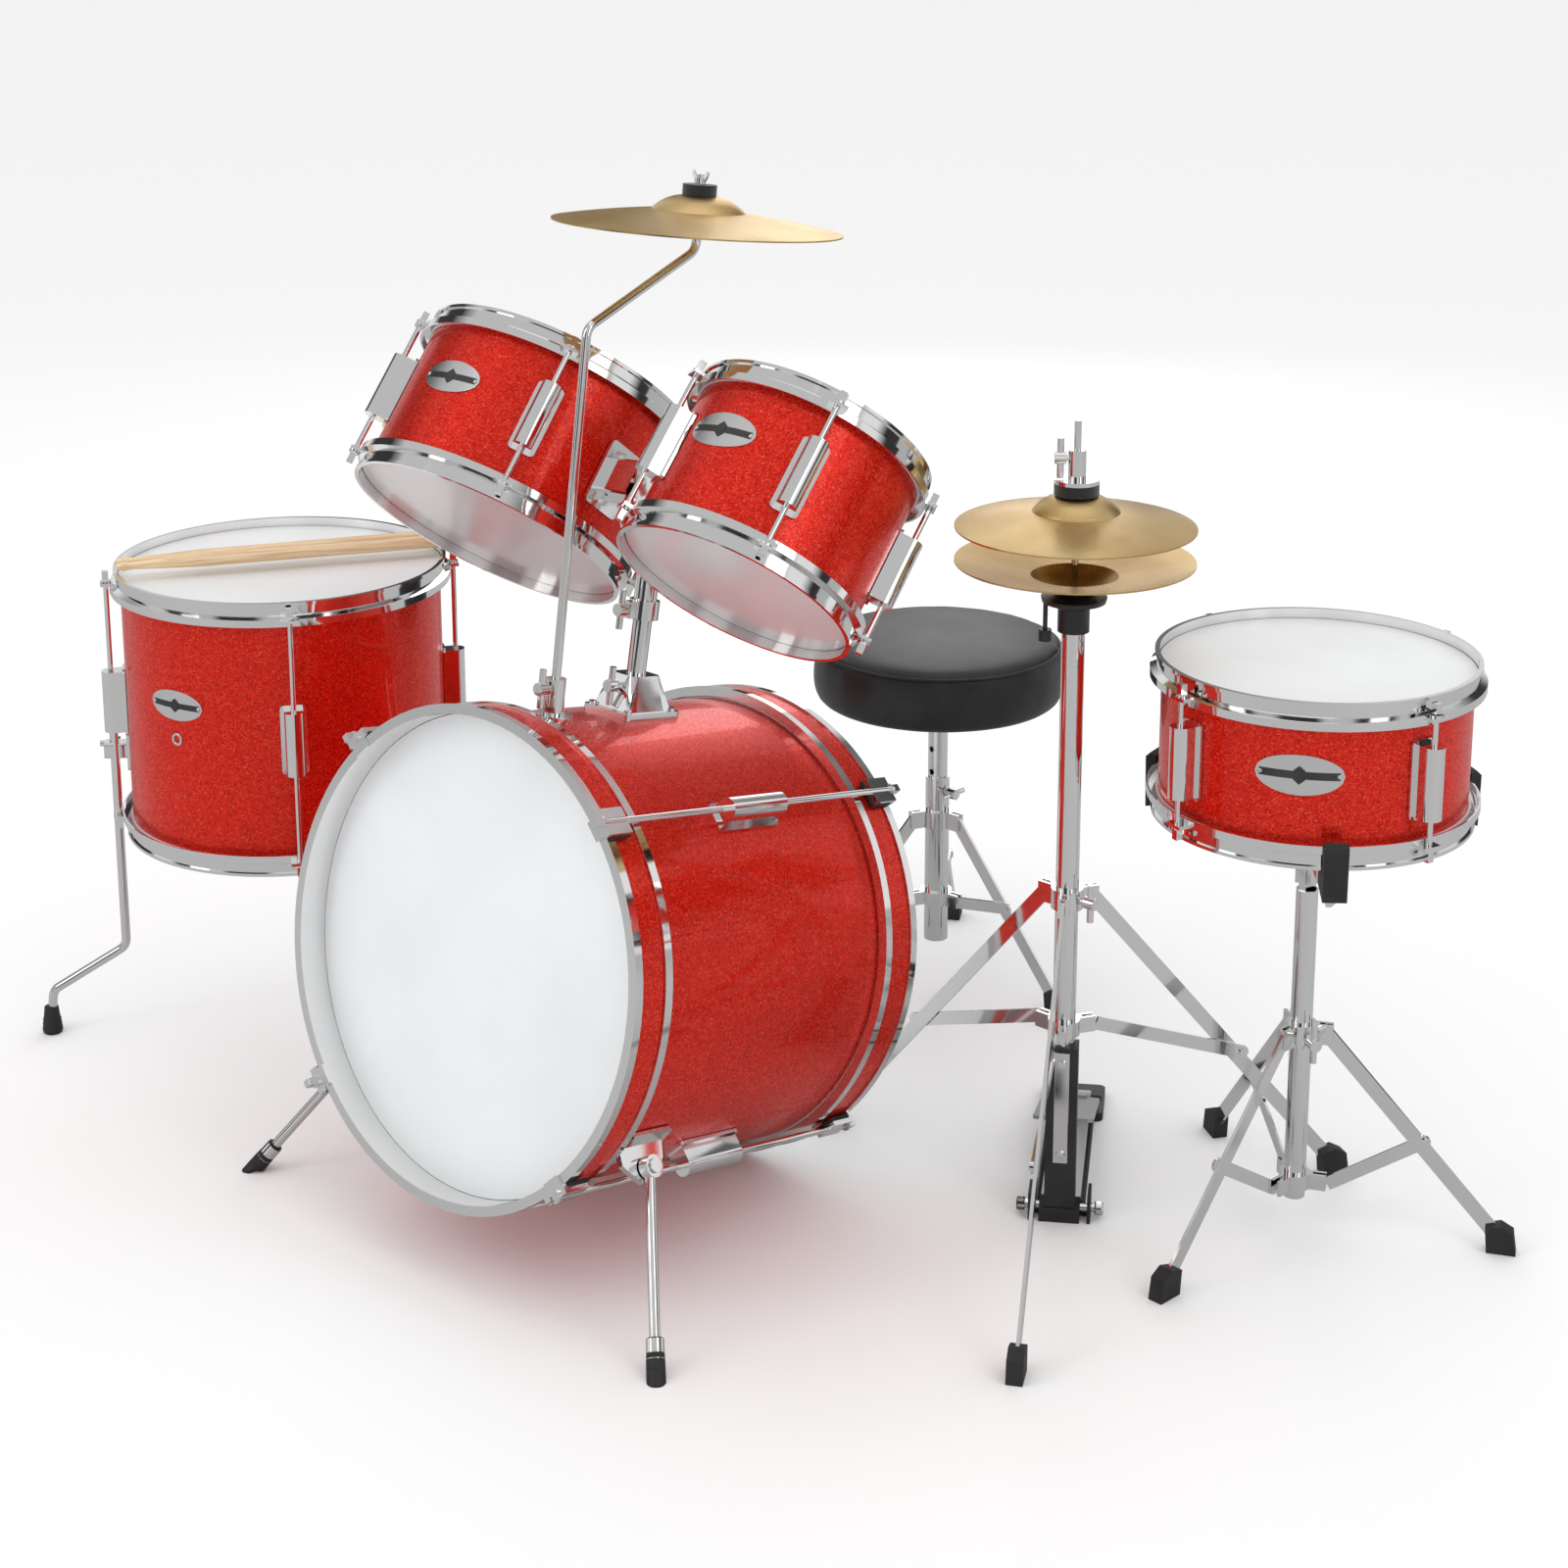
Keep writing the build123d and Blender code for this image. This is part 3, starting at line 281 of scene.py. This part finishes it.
def lathed_brass(name, centre, turn=(0, 0, 0)):
    """Brass with lathe rings about the cymbal's own axis and a slow colour drift."""
    brass = tuple(bpy.context.scene.kit_finish.brass)
    material, tree, shader = start(name, brass, 1.0, 0.3, anisotropic=0.75)
    at = placed(tree, centre, turn)
    rings = node(tree, "ShaderNodeTexWave", {"Vector": at}, wave_type="RINGS", rings_direction="Z",
                 Scale=260.0, Distortion=0.6, Detail=2.0)
    drift = node(tree, "ShaderNodeTexNoise", {"Vector": at}, Scale=14.0, Detail=3.0)
    deep = (brass[0] * 0.82, brass[1] * 0.74, brass[2] * 0.6, 1)
    tint = ramp(tree, drift.outputs["Fac"], (0.35, deep), (0.65, brass))
    tree.links.new(tint, shader.inputs["Base Color"])
    roughen(tree, shader, rings.outputs["Fac"], 0.22, 0.36)
    emboss(tree, shader, rings.outputs["Fac"], 0.0002, 0.35)
    around = node(tree, "ShaderNodeTangent", direction_type="RADIAL", axis="Z")
    tree.links.new(around.outputs["Tangent"], shader.inputs["Tangent"])
    return material


def grained(name, colour, roughness, scale, depth, **more):
    """Plastic, rubber, felt or vinyl: a cell or noise grain in the surface."""
    material, tree, shader = start(name, colour, 0.0, roughness, **more)
    at = placed(tree)
    grain = node(tree, "ShaderNodeTexVoronoi", {"Vector": at}, Scale=scale)
    wear = node(tree, "ShaderNodeTexNoise", {"Vector": at}, Scale=22.0, Detail=4.0)
    pale = tuple(min(1, c * 1.9 + 0.004) for c in colour[:3]) + (1,)
    tree.links.new(ramp(tree, wear.outputs["Fac"], (0.4, colour), (0.75, pale)), shader.inputs["Base Color"])
    roughen(tree, shader, wear.outputs["Fac"], roughness * 0.8, min(1, roughness * 1.2))
    emboss(tree, shader, grain.outputs["Distance"], depth, 0.6)
    return material


def maple():
    """Pale wood, its grain drawn out along the sticks."""
    material, tree, shader = start("maple", (0.80, 0.58, 0.34, 1), 0.0, 0.35, coat_weight=0.4)
    at = placed(tree, turn=(0, 0, STICK_ANGLE), scale=(0.6, 0.02, 0.02))
    grain = node(tree, "ShaderNodeTexNoise", {"Vector": at}, Scale=9.0, Detail=6.0, Distortion=0.4)
    tint = ramp(tree, grain.outputs["Fac"], (0.35, (0.66, 0.43, 0.22, 1)), (0.6, (0.86, 0.66, 0.42, 1)))
    tree.links.new(tint, shader.inputs["Base Color"])
    emboss(tree, shader, grain.outputs["Fac"], 0.0002, 0.3)
    return material


# ---------------------------------------------------------------- making pieces
def finish_piece(name, mesh, material, body, smooth=True, replaces=()):
    """Turns a bmesh into an object at the origin that rides on a body."""
    bmesh.ops.recalc_face_normals(mesh, faces=mesh.faces)
    data = bpy.data.meshes.new(name)
    mesh.to_mesh(data)
    mesh.free()
    piece = bpy.data.objects.new(name, data)
    bpy.context.scene.collection.objects.link(piece)
    data.materials.append(material)
    for face in data.polygons:
        face.use_smooth = smooth
    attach(piece, body)
    if replaces:
        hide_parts(*replaces)
    return piece


def towards(origin, axis):
    """A matrix that takes +Z to an axis, at an origin."""
    return Matrix.Translation(origin) @ Vector(axis).to_track_quat("Z", "Y").to_matrix().to_4x4()


def turned(mesh, outline, place, steps=48):
    """Spins a closed (radius, height) outline into a solid of revolution at a place."""
    verts = [mesh.verts.new((radius, 0, height)) for radius, height in outline]
    edges = [mesh.edges.new((verts[i], verts[(i + 1) % len(verts)])) for i in range(len(verts))]
    before = set(mesh.verts) - set(verts)
    bmesh.ops.spin(mesh, geom=verts + edges, cent=(0, 0, 0), axis=(0, 0, 1), angle=2 * pi,
                   steps=steps, use_merge=True)
    made = [v for v in mesh.verts if v not in before]
    bmesh.ops.remove_doubles(mesh, verts=made, dist=1e-6)
    made = [v for v in mesh.verts if v not in before]
    bmesh.ops.transform(mesh, matrix=place, verts=made)


def drum_matrix(name):
    """The drum's own frame: z along its axis, x as near +X as its tilt allows."""
    origin, axis, _, _ = DRUMS[name]
    z = axis.normalized()
    x = (Vector((1, 0, 0)) - z * z.x).normalized()
    y = z.cross(x)
    return Matrix.Translation(origin) @ Matrix((x, y, z)).transposed().to_4x4()


def wrapped(mesh, verts, drum, angle, height):
    """Bends flat verts (x round, y up, z out) on to a drum's shell."""
    radius = DRUMS[drum][2]
    place = drum_matrix(drum)
    for vert in verts:
        turn = radians(angle) + vert.co.x / radius
        out = radius + vert.co.z
        vert.co = place @ Vector((out * cos(turn), out * sin(turn), height + vert.co.y))


def slab(mesh, width, height, low, high, cuts=8):
    """A rectangular plate, divided along its length so that it can be bent."""
    before = set(mesh.verts)
    made = bmesh.ops.create_cube(mesh, size=1)["verts"]
    bmesh.ops.scale(mesh, vec=(width, height, high - low), verts=made)
    bmesh.ops.translate(mesh, vec=(0, 0, (low + high) / 2), verts=made)
    edges = [e for e in {e for v in made for e in v.link_edges}
             if abs((e.verts[0].co - e.verts[1].co).x) > width * 0.9]
    bmesh.ops.subdivide_edges(mesh, edges=edges, cuts=cuts)
    return [vert for vert in mesh.verts if vert not in before]


# ---------------------------------------------------------------- operators
class KIT_OT_finishes(bpy.types.Operator):
    """Give every part of the loaded kit its own finish"""

    bl_idname = "kit.finishes"
    bl_label = "Finishes"

    def execute(self, context):
        plate = chrome()
        dull = chrome("nickel", 0.62, 0.16, 0.28)
        wrap = sparkle_wrap()
        coated = film("coated head", (0.86, 0.87, 0.88, 1), 0.5, 0.1)
        clear = film("smooth head", (0.70, 0.71, 0.72, 1), 0.22, 0.5)
        rubber = grained("rubber", (0.012, 0.012, 0.012, 1), 0.6, 900.0, 0.0001)
        plastic = grained("black plastic", (0.014, 0.014, 0.015, 1), 0.38, 1200.0, 0.00006)
        steel = grained("black powder coat", (0.012, 0.012, 0.013, 1), 0.42, 1600.0, 0.00008)
        felt = grained("felt", (0.012, 0.011, 0.011, 1), 0.95, 1400.0, 0.0004, sheen_weight=0.4)
        cast = chrome("cast aluminium", 0.5, 0.3, 0.45)
        crash = lathed_brass("crash brass", CRASH_CENTRE, CRASH_TILT)
        hats = lathed_brass("hi-hat brass", HIHAT)
        wood = maple()
        chosen = {
            "crash_cymbal": crash, "hihat_top_cymbal": hats, "hihat_bottom_cymbal": hats,
            "crash_felts": felt, "hihat_felts": felt, "stand_feet": rubber, "basket_grips": rubber,
            "hihat_seat": plastic, "hihat_frame": steel, "footboard": cast, "drumsticks": wood,
            "snare_wires": dull, "bass_hoop_inlays": wrap, "tom_left_heads": clear,
            "tom_right_heads": clear,
        }
        for name, part in frame["nodes"].items():
            if name in chosen:
                finish = chosen[name]
            elif name.endswith("_shell"):
                finish = wrap
            elif name.endswith("_heads"):
                finish = coated
            else:
                finish = plate
            part.data.materials.clear()
            part.data.materials.append(finish)
        return {"FINISHED"}


class KIT_OT_badges(bpy.types.Operator):
    """Add a plain oval badge with a dark band, a shield and two rivets to each drum"""

    bl_idname = "kit.badges"
    bl_label = "Badges"

    def execute(self, context):
        sizes = context.scene.kit_sizes
        silver = chrome("badge silver", 0.78, 0.2, 0.32)
        black = grained("badge black", (0.02, 0.02, 0.02, 1), 0.4, 1500.0, 0.00003)
        for drum, angle, height, body, scale in BADGES:
            width, tall = sizes.badge_width * scale, sizes.badge_height * scale
            plate = bmesh.new()
            verts = slab(plate, width, tall, 0.0001, 0.0011, cuts=40)
            for vert in verts:
                rise = (1 - min(1, (2 * vert.co.x / width) ** 2)) ** 0.5
                vert.co.y *= max(rise, 0.02)
            wrapped(plate, plate.verts, drum, angle, height)
            finish_piece(f"{drum}_badge", plate, silver, body, smooth=False)
            band = bmesh.new()
            slab(band, width * 0.9, tall * 0.19, 0.0009, 0.0014, cuts=20)
            shield = bmesh.ops.create_circle(band, cap_ends=True, segments=6, radius=tall * 0.2)["verts"]
            bmesh.ops.scale(band, vec=(0.8, 1.15, 1), verts=shield)
            bmesh.ops.translate(band, vec=(0, 0, 0.0012), verts=shield)
            faces = list({f for v in shield for f in v.link_faces})
            grown = bmesh.ops.extrude_face_region(band, geom=faces)["geom"]
            moved = [g for g in grown if isinstance(g, bmesh.types.BMVert)]
            bmesh.ops.translate(band, vec=(0, 0, 0.0005), verts=moved)
            wrapped(band, band.verts, drum, angle, height)
            finish_piece(f"{drum}_badge_band", band, black, body, smooth=False)
            rivets = bmesh.new()
            for side in (-1, 1):
                made = bmesh.ops.create_uvsphere(rivets, u_segments=16, v_segments=8, radius=0.0021)["verts"]
                bmesh.ops.scale(rivets, vec=(1, 1, 0.6), verts=made)
                bmesh.ops.translate(rivets, vec=(side * width * 0.44, 0, 0.0012), verts=made)
            wrapped(rivets, rivets.verts, drum, angle, height)
            finish_piece(f"{drum}_badge_rivets", rivets, silver, body)
        vent = bmesh.new()
        radius = DRUMS["floor_tom"][2]
        place = drum_matrix("floor_tom") @ Matrix.Rotation(radians(FLOOR_TOM_BADGE_ANGLE), 4, "Z") \
            @ Matrix.Translation((radius - 0.0001, 0, VENT_HEIGHT)) @ Matrix.Rotation(pi / 2, 4, "Y")
        turned(vent, VENT_RING, place, steps=32)
        finish_piece("floor_tom_vent", vent, silver, "kit")
        return {"FINISHED"}


class KIT_OT_rubber_tips(bpy.types.Operator):
    """Fit ribbed rubber tips over the spurs and the floor tom's legs"""

    bl_idname = "kit.rubber_tips"
    bl_label = "Rubber tips"

    def execute(self, context):
        rubber = grained("tip rubber", (0.012, 0.012, 0.012, 1), 0.55, 900.0, 0.0001)
        centre, _, _, _ = DRUMS["floor_tom"]
        for number, angle in enumerate(LEG_ANGLES, start=1):
            out = Vector((cos(radians(angle)), sin(radians(angle)), 0)) * LEG_FOOT_RADIUS
            tip = bmesh.new()
            turned(tip, LEG_TIP, Matrix.Translation(Vector((centre.x, centre.y, 0)) + out), steps=32)
            finish_piece(f"floor_tom_tip_{number}", tip, rubber, f"floor_tom_leg_{number}")
        for word in ("left", "right"):
            pivot = Vector([j for j in frame["joints"] if j["name"] == f"spur_{word}_fold"][0]["pos_m"])
            toe = Vector((BASS_RIM.x + (SPUR_TOE_X if word == "right" else -SPUR_TOE_X), SPUR_TOE_Y, 0))
            along = (pivot - toe).normalized()
            tip = bmesh.new()
            turned(tip, SPUR_TIP, towards(toe, along), steps=32)
            for vert in tip.verts:
                vert.co.z = max(vert.co.z, 0.0)
            finish_piece(f"spur_tip_{word}", tip, rubber, f"spur_{word}")
        return {"FINISHED"}


class KIT_OT_claw_pads(bpy.types.Operator):
    """Put a rubber pad under each claw where it bears on a bass hoop"""

    bl_idname = "kit.claw_pads"
    bl_label = "Claw pads"

    def execute(self, context):
        rubber = grained("pad rubber", (0.012, 0.012, 0.012, 1), 0.6, 900.0, 0.0001)
        along = Vector((0, cos(BASS_TILT), -sin(BASS_TILT)))
        up = Vector((0, sin(BASS_TILT), cos(BASS_TILT)))
        pads = bmesh.new()
        for near, sign in ((BASS_RIM, 1), (BASS_RIM + along * BASS_DEPTH, -1)):
            for angle in CLAW_ANGLES:
                out = Vector((cos(radians(angle)), 0, 0)) + up * sin(radians(angle))
                across = out.cross(along)
                made = bmesh.ops.create_cube(pads, size=1)["verts"]
                bmesh.ops.scale(pads, vec=(0.026, 0.004, 0.024), verts=made)
                edges = list({e for v in made for e in v.link_edges})
                before = set(pads.verts) - set(made)
                bmesh.ops.bevel(pads, geom=edges, offset=0.001, segments=2, affect="EDGES", profile=0.5,
                                material=-1)
                made = [v for v in pads.verts if v not in before]
                place = Matrix((across, out, along)).transposed().to_4x4()
                place.translation = near + out * CLAW_PAD_RADIUS + along * (sign * CLAW_PAD_INSET)
                bmesh.ops.transform(pads, matrix=place, verts=made)
        finish_piece("claw_pads", pads, rubber, "kit", smooth=False)
        return {"FINISHED"}


class KIT_OT_seat(bpy.types.Operator):
    """Replace the plain seat by a crowned, stitched vinyl cushion"""

    bl_idname = "kit.seat"
    bl_label = "Throne seat"

    def execute(self, context):
        low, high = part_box("throne_seat")
        radius = (high.x - low.x) / 2
        crown = context.scene.kit_sizes.seat_crown
        colour = tuple(context.scene.kit_finish.vinyl)
        vinyl = grained("vinyl", colour, 0.40, 700.0, 0.00025, coat_weight=0.05, coat_roughness=0.3)
        base, top = low.z + 0.0004, high.z
        edge = top - 0.013
        outline = [
            (0, base), (radius - 0.014, base), (radius - 0.006, base + 0.003), (radius - 0.002, base + 0.010),
            (radius, base + 0.024), (radius - 0.001, base + 0.038), (radius - 0.003, edge - 0.006),
            (radius - 0.0052, edge - 0.0012), (radius - 0.0060, edge), (radius - 0.0054, edge + 0.0014),
            (radius - 0.012, edge + 0.0062), (radius - 0.028, top - crown * 0.42),
            (radius - 0.060, top - crown * 0.14), (radius * 0.25, top - 0.0003), (0, top)]
        cushion = bmesh.new()
        turned(cushion, outline, Matrix.Translation((THRONE.x, THRONE.y, 0)), steps=96)
        for vert in cushion.verts:
            flat = Vector((vert.co.x - THRONE.x, vert.co.y - THRONE.y, 0))
            if flat.length > radius * 0.5 and vert.co.z > base + 0.002:
                seam = max(0.0, 1 - abs(vert.co.z - edge) / 0.02)
                pucker = noise.noise(flat.normalized() * 9 + Vector((0, 0, vert.co.z * 25)))
                vert.co -= flat.normalized() * (0.0006 + 0.0012 * seam) * (pucker + 0.6)
        piece = finish_piece("seat_cushion", cushion, vinyl, "throne_top", replaces=("throne_seat",))
        smooth = piece.modifiers.new("rounding", "SUBSURF")
        smooth.levels = smooth.render_levels = 2
        piping = bmesh.new()
        turned(piping, [(radius - 0.0058 + 0.0017 * cos(t * pi / 4), edge + 0.0017 * sin(t * pi / 4))
                        for t in range(8)], Matrix.Translation((THRONE.x, THRONE.y, 0)), steps=128)
        finish_piece("seat_piping", piping, vinyl, "throne_top")
        return {"FINISHED"}


class KIT_OT_pedal_fittings(bpy.types.Operator):
    """Add the bright axle, strap and bolts round the hi-hat's pedal frame"""

    bl_idname = "kit.pedal_fittings"
    bl_label = "Pedal fittings"

    def execute(self, context):
        plate = chrome("pedal chrome", 0.8, 0.06, 0.14)
        across = UP.cross(PEDAL_LINE)
        axle = bmesh.new()
        middle = HIHAT + Vector((0, 0, 0.009))
        turned(axle, [(0, -AXLE_HALF), (AXLE_RADIUS, -AXLE_HALF), (AXLE_RADIUS, AXLE_HALF), (0, AXLE_HALF)],
               towards(middle, across), steps=24)
        for side in (-1, 1):
            place = towards(middle + across * (0.0308 * side), across * side)
            turned(axle, AXLE_NUT, place, steps=6 if side > 0 else 24)
        finish_piece("pedal_axle", axle, plate, "kit", smooth=False)
        strap = bmesh.new()
        face = HIHAT - PEDAL_LINE * 0.0138
        made = bmesh.ops.create_cube(strap, size=1)["verts"]
        bmesh.ops.scale(strap, vec=(0.0016, 0.013, 0.105), verts=made)
        place = Matrix((PEDAL_LINE, across, UP)).transposed().to_4x4()
        place.translation = face + Vector((0, 0, 0.110))
        edges = list({e for v in made for e in v.link_edges})
        bmesh.ops.bevel(strap, geom=edges, offset=0.0005, segments=2, affect="EDGES", profile=0.5,
                        material=-1)
        bmesh.ops.transform(strap, matrix=place, verts=strap.verts)
        for height in (0.066, 0.152):
            seat = face - PEDAL_LINE * 0.0008 + Vector((0, 0, height))
            turned(strap, STRAP_BOLT, towards(seat, -PEDAL_LINE), steps=24)
        finish_piece("pedal_strap", strap, plate, "kit", smooth=False)
        return {"FINISHED"}


class KIT_OT_stage(bpy.types.Operator):
    bl_idname = "kit.stage"
    bl_label = "Stage"

    def execute(self, context):
        scene = context.scene
        ground = bmesh.new()
        bmesh.ops.create_circle(ground, cap_ends=True, segments=64, radius=FLOOR_RADIUS)
        data = bpy.data.meshes.new("floor")
        ground.to_mesh(data)
        ground.free()
        floor = bpy.data.objects.new("floor", data)
        scene.collection.objects.link(floor)
        floor.location.z = -0.0003
        paper, tree, shader = start("paper", grey(PAPER), 0.0, 0.9)
        seen = node(tree, "ShaderNodeLightPath").outputs["Is Glossy Ray"]
        shade = ramp(tree, seen, (0.0, grey(PAPER)), (1.0, grey(PAPER_MIRRORED)))
        tree.links.new(shade, shader.inputs["Base Color"])
        data.materials.append(paper)

        world = bpy.data.worlds.new("studio")
        scene.world = world
        world.use_nodes = True
        sky = world.node_tree
        direction = node(sky, "ShaderNodeTexCoord").outputs["Generated"]
        bearing = node(sky, "ShaderNodeTexGradient", {"Vector": direction}, gradient_type="RADIAL")
        strips = ramp(sky, bearing.outputs["Fac"], *((at, grey(level)) for at, level in STUDIO_STRIPS))
        split = node(sky, "ShaderNodeSeparateXYZ", {"Vector": direction})
        ceiling = ramp(sky, split.outputs["Z"], (0.45, grey(0.0)), (0.62, grey(1.0)))
        mirrored = mixed(sky, ceiling, strips, grey(CEILING_LEVEL))
        path = node(sky, "ShaderNodeLightPath")
        plain = mixed(sky, path.outputs["Is Glossy Ray"], grey(WORLD_LEVEL), mirrored)
        shown = mixed(sky, path.outputs["Is Camera Ray"], plain, grey(1.0))
        sky.links.new(shown, sky.nodes["Background"].inputs["Color"])

        for name, spot, aim, size, power in LAMPS:
            lamp = bpy.data.lights.new(name, "AREA")
            lamp.shape, lamp.size, lamp.size_y, lamp.energy = "RECTANGLE", size[0], size[1], power
            light = bpy.data.objects.new(name, lamp)
            scene.collection.objects.link(light)
            light.location = spot
            light.rotation_euler = (Vector(aim) - Vector(spot)).to_track_quat("-Z", "Y").to_euler()

        lens = bpy.data.cameras.new("camera")
        camera = bpy.data.objects.new("camera", lens)
        scene.collection.objects.link(camera)
        camera.location = CAMERA_PLACE
        camera.rotation_euler = (radians(90 - CAMERA_PITCH), 0, radians(CAMERA_AZIMUTH))
        lens.sensor_width, lens.lens = 36, CAMERA_LENS
        lens.shift_x, lens.shift_y = CAMERA_SHIFT_X, CAMERA_SHIFT_Y
        lens.clip_end = 200
        scene.camera = camera
        scene.view_settings.view_transform = "Standard"
        return {"FINISHED"}


OPERATORS = (KIT_OT_finishes, KIT_OT_badges, KIT_OT_rubber_tips, KIT_OT_claw_pads, KIT_OT_seat,
             KIT_OT_pedal_fittings, KIT_OT_stage)


class KIT_PT_panel(bpy.types.Panel):
    bl_idname = "KIT_PT_panel"
    bl_label = "Drum kit"
    bl_space_type = "VIEW_3D"
    bl_region_type = "UI"
    bl_category = "Drum kit"

    def draw(self, context):
        for group, names in (("kit_finish", ("wrap", "brass", "vinyl", "flake")),
                             ("kit_sizes", ("badge_width", "badge_height", "seat_crown"))):
            for name in names:
                self.layout.prop(getattr(context.scene, group), name)
        for operator in OPERATORS:
            self.layout.operator(operator.bl_idname)


CLASSES = (KitFinish, KitSizes, *OPERATORS, KIT_PT_panel)


def register():
    for one in CLASSES:
        bpy.utils.register_class(one)
    bpy.types.Scene.kit_finish = PointerProperty(type=KitFinish)
    bpy.types.Scene.kit_sizes = PointerProperty(type=KitSizes)


def unregister():
    del bpy.types.Scene.kit_sizes
    del bpy.types.Scene.kit_finish
    for one in reversed(CLASSES):
        bpy.utils.unregister_class(one)


def main():
    register()
    bpy.ops.kit.finishes()
    bpy.ops.kit.badges()
    bpy.ops.kit.rubber_tips()
    bpy.ops.kit.claw_pads()
    bpy.ops.kit.seat()
    bpy.ops.kit.pedal_fittings()
    bpy.ops.kit.stage()


if __name__ == "__main__":
    main()
